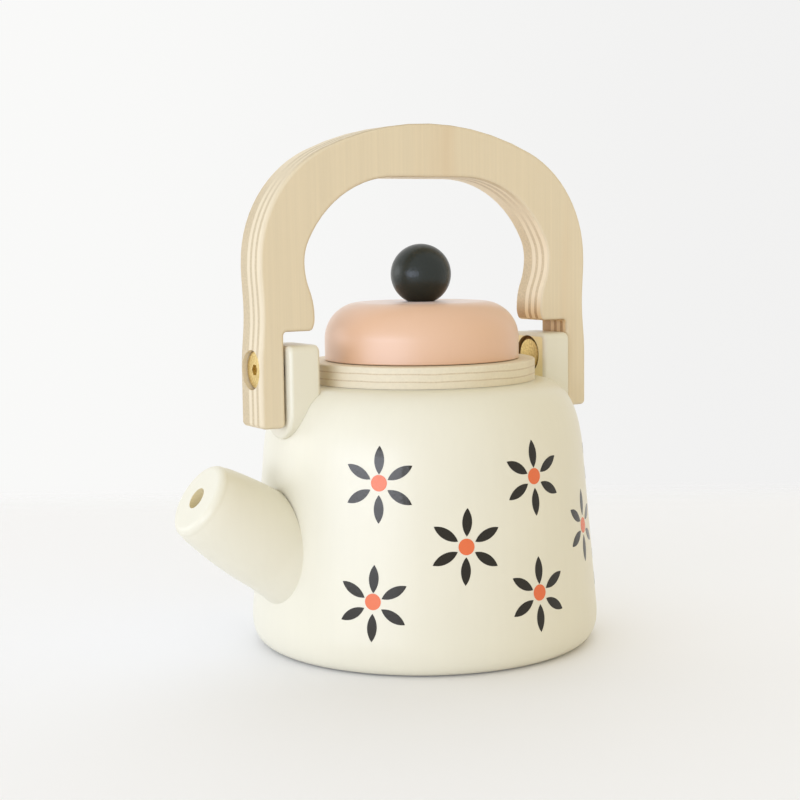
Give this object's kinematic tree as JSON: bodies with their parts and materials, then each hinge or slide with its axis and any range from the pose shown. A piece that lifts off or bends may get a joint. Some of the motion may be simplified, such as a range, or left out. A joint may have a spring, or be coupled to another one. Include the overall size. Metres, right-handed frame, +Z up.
{
  "type": "toy kettle",
  "caption": "Wooden toy kettle: a tapered hollow body with a stubby spout, a lift-off domed lid with a ball knob, and a sawn plywood bail handle that swings on pivots.",
  "frame": {"origin": "centre of the flat base that the kettle stands on", "axes": "+Z up; the handle's pivot axis runs along X and the spout points to -X, so the kettle is symmetric about Y = 0"},
  "size_m": [0.1505, 0.1158, 0.1698],
  "materials": {
    "cream_paint": "satin cream paint on turned wood",
    "peach_paint": "satin peach paint on turned wood",
    "dark_paint": "satin green-black paint on a turned ball",
    "birch_plywood": "clear-sealed birch plywood, its plies showing on the edges",
    "dowel_wood": "bare beech dowel",
    "yellow_brass": "brass-plated, satin",
    "dark_nylon": "moulded nylon, matt"
  },
  "bodies": {
    "root": {"kettle_body": "cream_paint", "spout": "cream_paint", "ear_spout_side": "cream_paint", "ear_rear": "cream_paint", "rim_ring": "birch_plywood", "ear_dowel_spout_side_front": "dowel_wood", "ear_dowel_spout_side_back": "dowel_wood", "ear_dowel_rear_front": "dowel_wood", "ear_dowel_rear_back": "dowel_wood", "pivot_screw_spout_side": "yellow_brass", "pivot_screw_rear": "yellow_brass", "pivot_sleeve_spout_side": "yellow_brass", "pivot_sleeve_rear": "yellow_brass", "spacer_washer_spout_side": "dark_nylon", "spacer_washer_rear": "dark_nylon"},
    "handle": {"handle": "birch_plywood"},
    "lid": {"lid_cap": "peach_paint", "lid_spigot": "birch_plywood", "lid_knob": "dark_paint", "knob_dowel": "dowel_wood"}
  },
  "joints": [
    {"name": "handle_swing", "type": "hinge", "parent": "root", "child": "handle", "pos_m": [0, 0, 0.0925], "axis": [1, 0, 0], "range_deg": [-87, 87]},
    {"name": "lid_lift", "type": "slide", "parent": "root", "child": "lid", "axis": [0, 0, 1], "range_m": [0, 0.02]}
  ]
}
